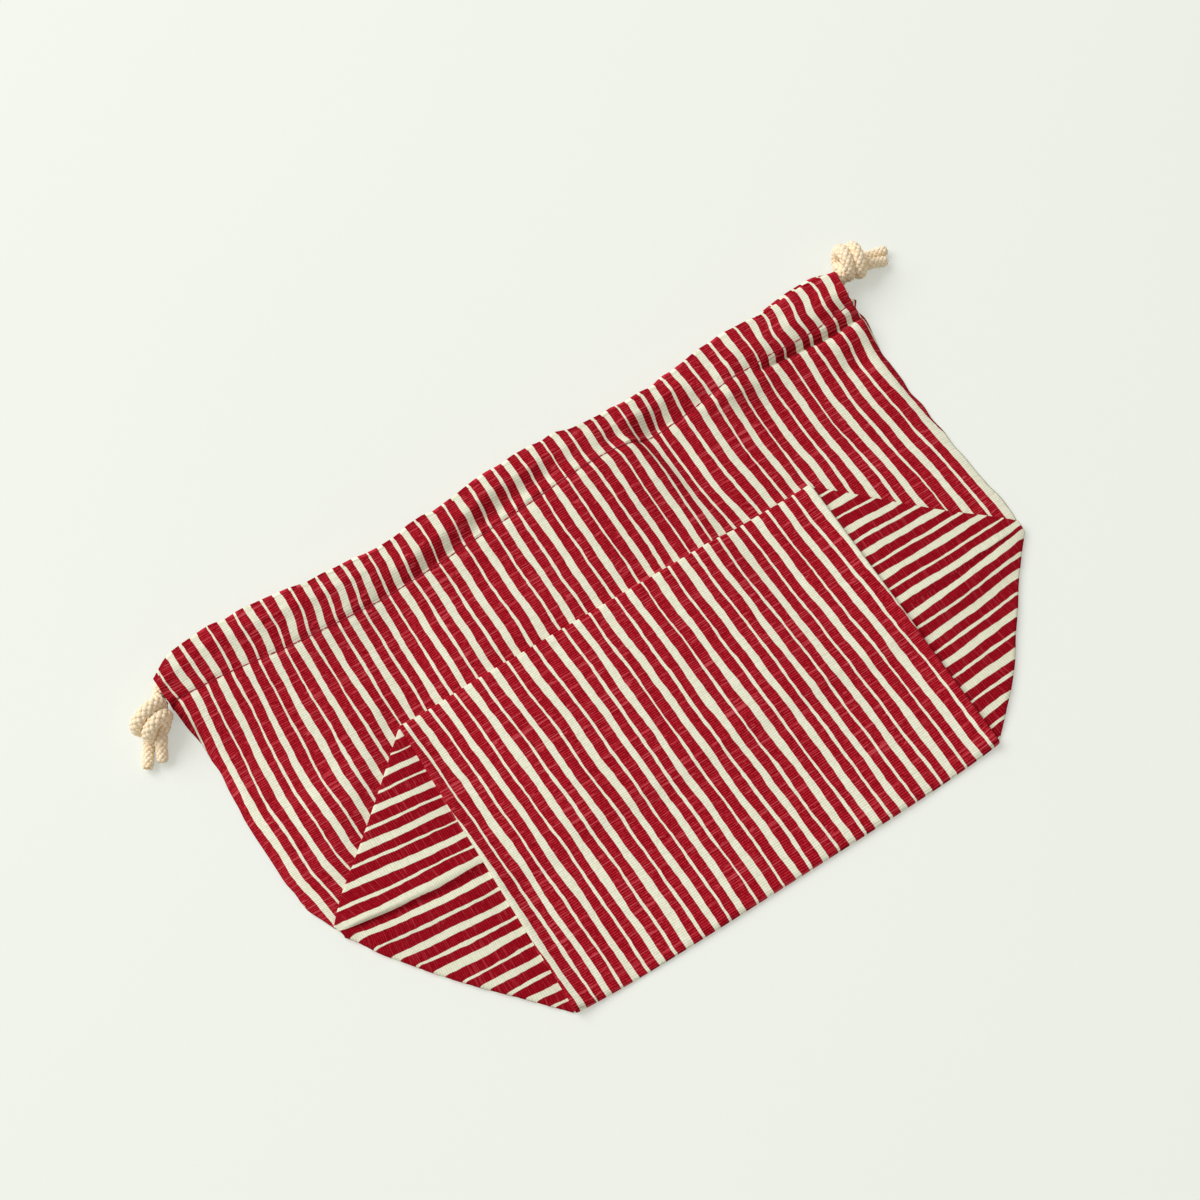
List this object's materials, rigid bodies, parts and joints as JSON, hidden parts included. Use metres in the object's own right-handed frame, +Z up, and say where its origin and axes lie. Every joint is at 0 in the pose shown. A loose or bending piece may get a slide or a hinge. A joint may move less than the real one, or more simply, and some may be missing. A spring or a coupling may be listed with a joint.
{
  "type": "drawstring lunch pouch",
  "caption": "Flat-folded striped cotton drawstring lunch bag with a block bottom turned up on its front, casings along the mouth and knotted drawcords at each end.",
  "frame": {"origin": "on the table, under the middle of the flat-lying cloth", "axes": "+X along the mouth towards the right-hand knot, +Y from the bottom fold to the mouth, +Z up off the table"},
  "size_m": [0.3521, 0.1972, 0.0124],
  "materials": {
    "striped_cotton": "matte ribbed slub cotton, crimson with uneven cream stripes",
    "cotton_cord": "matte ecru braided cotton"
  },
  "bodies": {
    "root": {"pouch_cloth": "striped_cotton", "left_drawcord": "cotton_cord", "right_drawcord": "cotton_cord"}
  },
  "joints": []
}
